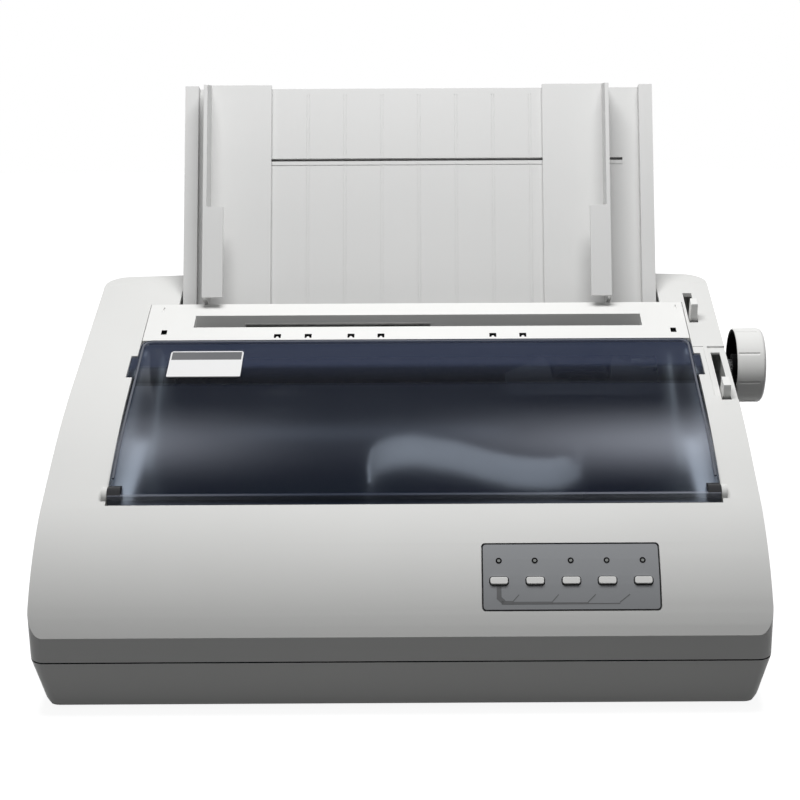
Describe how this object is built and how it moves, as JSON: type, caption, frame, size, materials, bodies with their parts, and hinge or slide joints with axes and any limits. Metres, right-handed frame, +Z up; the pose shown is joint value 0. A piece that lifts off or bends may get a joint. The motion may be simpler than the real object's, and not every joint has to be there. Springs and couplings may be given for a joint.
{
  "type": "dot matrix printer",
  "caption": "Desktop dot matrix printer with a smoke front cover, tear-off cover, upright sheet support with sliding edge guides, platen knob, levers and a button panel.",
  "frame": {"origin": "centre of the footprint of the whole printer, on the table under its feet", "axes": "+X to the right seen from the front, +Y to the rear, +Z up"},
  "size_m": [0.4162, 0.3266, 0.2655],
  "materials": {
    "case_plastic": "fine moulded texture",
    "white_plastic": "satin",
    "support_plastic": "satin",
    "smoke_plastic": "clear smoke tint, glossy",
    "label_paper": "glossy film",
    "panel_film": "fine matt film",
    "lamp_plastic": "clear dark lens",
    "foot_rubber": "matt",
    "platen_rubber": "ground satin",
    "bright_steel": "ground",
    "zinc_sheet": "zinc plated",
    "motor_steel": "plated",
    "natural_nylon": "moulded",
    "brass": "machined",
    "black_plastic": "moulded",
    "head_casting": "cast, dark",
    "board_green": "solder mask over laminate",
    "transformer_core": "varnished",
    "port_metal": "nickel plated",
    "cable_film": "flat film"
  },
  "bodies": {
    "case": {"lower_case": "case_plastic", "upper_case": "case_plastic", "feet": "foot_rubber", "case_screws": "bright_steel", "base_frame": "zinc_sheet", "left_side_frame": "zinc_sheet", "right_side_frame": "zinc_sheet", "front_rail": "zinc_sheet", "platen_bushes": "natural_nylon", "paper_pan": "black_plastic", "paper_sensor": "black_plastic", "main_board": "board_green", "board_chips": "black_plastic", "power_board": "board_green", "transformer": "transformer_core", "interface_board": "board_green", "parallel_port": "port_metal", "usb_port": "port_metal", "power_inlet": "black_plastic", "switch_housing": "black_plastic", "control_panel": "panel_film", "status_lamps": "lamp_plastic", "panel_board": "board_green", "feed_motor": "motor_steel", "tractor_rod": "bright_steel", "head_cable": "cable_film", "carriage_motor": "motor_steel", "timing_belt": "platen_rubber"},
    "front_cover": {"front_cover": "smoke_plastic", "cover_label": "label_paper"},
    "tear_off_cover": {"tear_off_cover": "white_plastic"},
    "paper_support": {"paper_support": "support_plastic"},
    "left_guide": {"left_paper_guide": "support_plastic"},
    "right_guide": {"right_paper_guide": "support_plastic"},
    "platen": {"platen_roller": "platen_rubber", "platen_shaft": "bright_steel", "platen_gear": "natural_nylon", "platen_knob": "white_plastic"},
    "feed_idler": {"feed_idler": "natural_nylon"},
    "feed_pinion": {"feed_pinion": "brass"},
    "tractor_drive": {"tractor_shaft": "bright_steel"},
    "pressure_rollers": {"pressure_rollers": "platen_rubber"},
    "left_tractor": {"left_tractor": "black_plastic"},
    "right_tractor": {"right_tractor": "black_plastic"},
    "left_tractor_lid": {"left_tractor_lid": "black_plastic"},
    "right_tractor_lid": {"right_tractor_lid": "black_plastic"},
    "thickness_lever": {"guide_shaft": "bright_steel", "thickness_lever": "white_plastic"},
    "release_lever": {"release_lever": "white_plastic"},
    "carriage": {"carriage": "black_plastic", "print_head": "head_casting", "ribbon_cartridge": "black_plastic"},
    "drive_pulley": {"drive_pulley": "brass"},
    "idler_pulley": {"idler_pulley": "brass"},
    "power_rocker": {"power_rocker": "black_plastic"},
    "button_1": {"button_1": "white_plastic"},
    "button_2": {"button_2": "white_plastic"},
    "button_3": {"button_3": "white_plastic"},
    "button_4": {"button_4": "white_plastic"},
    "button_5": {"button_5": "white_plastic"}
  },
  "joints": [
    {"name": "front_cover_hinge", "type": "hinge", "parent": "case", "child": "front_cover", "pos_m": [-0.0061, -0.10077, 0.0984], "axis": [1, 0, 0], "range_deg": [0, 100]},
    {"name": "tear_off_cover_hinge", "type": "hinge", "parent": "case", "child": "tear_off_cover", "pos_m": [-0.0061, 0.07353, 0.13781], "axis": [-1, 0, 0], "range_deg": [0, 30]},
    {"name": "support_hinge", "type": "hinge", "parent": "case", "child": "paper_support", "pos_m": [-0.0043, 0.08523, 0.1262], "axis": [-1, 0, 0], "range_deg": [0, 45]},
    {"name": "left_guide_slide", "type": "slide", "parent": "paper_support", "child": "left_guide", "axis": [1, 0, 0], "range_m": [0, 0.025]},
    {"name": "right_guide_slide", "type": "slide", "parent": "paper_support", "child": "right_guide", "axis": [1, 0, 0], "range_m": [-0.11, 0.008]},
    {"name": "platen_spin", "type": "hinge", "parent": "case", "child": "platen", "pos_m": [-0.0061, 0.05573, 0.1072], "axis": [1, 0, 0], "continuous": true},
    {"name": "idler_spin", "type": "hinge", "parent": "case", "child": "feed_idler", "pos_m": [-0.1651, 0.08031, 0.08999], "axis": [1, 0, 0], "continuous": true},
    {"name": "pinion_spin", "type": "hinge", "parent": "case", "child": "feed_pinion", "pos_m": [-0.1651, 0.06777, 0.07505], "axis": [1, 0, 0], "continuous": true},
    {"name": "tractor_spin", "type": "hinge", "parent": "case", "child": "tractor_drive", "pos_m": [-0.1651, 0.09869, 0.07457], "axis": [1, 0, 0], "continuous": true},
    {"name": "pressure_roller_spin", "type": "hinge", "parent": "case", "child": "pressure_rollers", "pos_m": [-0.0061, 0.04558, 0.08962], "axis": [1, 0, 0], "continuous": true},
    {"name": "left_tractor_slide", "type": "slide", "parent": "case", "child": "left_tractor", "axis": [1, 0, 0], "range_m": [0, 0.015]},
    {"name": "right_tractor_slide", "type": "slide", "parent": "case", "child": "right_tractor", "axis": [1, 0, 0], "range_m": [-0.06, 0.008]},
    {"name": "left_tractor_lid_hinge", "type": "hinge", "parent": "left_tractor", "child": "left_tractor_lid", "pos_m": [-0.1291, 0.09173, 0.08597], "axis": [0, -1, 0], "range_deg": [0, 100]},
    {"name": "right_tractor_lid_hinge", "type": "hinge", "parent": "right_tractor", "child": "right_tractor_lid", "pos_m": [0.0929, 0.09173, 0.08597], "axis": [0, -1, 0], "range_deg": [0, 100]},
    {"name": "thickness_lever_turn", "type": "hinge", "parent": "case", "child": "thickness_lever", "pos_m": [0.1729, 0.00173, 0.0802], "axis": [-1, 0, 0], "range_deg": [0, 38]},
    {"name": "release_lever_turn", "type": "hinge", "parent": "case", "child": "release_lever", "pos_m": [0.1639, 0.07473, 0.0892], "axis": [-1, 0, 0], "range_deg": [0, 22]},
    {"name": "carriage_slide", "type": "slide", "parent": "case", "child": "carriage", "axis": [1, 0, 0], "range_m": [-0.2, 0]},
    {"name": "drive_pulley_spin", "type": "hinge", "parent": "case", "child": "drive_pulley", "pos_m": [-0.1351, -0.01327, 0.0682], "axis": [0, 0, 1], "continuous": true},
    {"name": "idler_pulley_spin", "type": "hinge", "parent": "case", "child": "idler_pulley", "pos_m": [0.1319, -0.01327, 0.0682], "axis": [0, 0, 1], "continuous": true},
    {"name": "power_rocker_turn", "type": "hinge", "parent": "case", "child": "power_rocker", "pos_m": [0.1474, 0.11523, 0.017], "axis": [1, 0, 0], "range_deg": [0, 12]},
    {"name": "button_1_press", "type": "slide", "parent": "case", "child": "button_1", "axis": [0, 0.7253, -0.6885], "range_m": [0, 0.0008], "stiffness_N_per_m": 1200},
    {"name": "button_2_press", "type": "slide", "parent": "case", "child": "button_2", "axis": [0, 0.7253, -0.6885], "range_m": [0, 0.0008], "stiffness_N_per_m": 1200},
    {"name": "button_3_press", "type": "slide", "parent": "case", "child": "button_3", "axis": [0, 0.7253, -0.6885], "range_m": [0, 0.0008], "stiffness_N_per_m": 1200},
    {"name": "button_4_press", "type": "slide", "parent": "case", "child": "button_4", "axis": [0, 0.7253, -0.6885], "range_m": [0, 0.0008], "stiffness_N_per_m": 1200},
    {"name": "button_5_press", "type": "slide", "parent": "case", "child": "button_5", "axis": [0, 0.7253, -0.6885], "range_m": [0, 0.0008], "stiffness_N_per_m": 1200}
  ],
  "couplings": [
    {"joint": "idler_spin", "follows": "platen_spin", "ratio": -1.5},
    {"joint": "pinion_spin", "follows": "platen_spin", "ratio": 2.4},
    {"joint": "tractor_spin", "follows": "platen_spin", "ratio": 1.5},
    {"joint": "pressure_roller_spin", "follows": "platen_spin", "ratio": -2.3333},
    {"joint": "drive_pulley_spin", "follows": "carriage_slide", "rad_per_m": -131.58},
    {"joint": "idler_pulley_spin", "follows": "carriage_slide", "rad_per_m": -131.58}
  ]
}
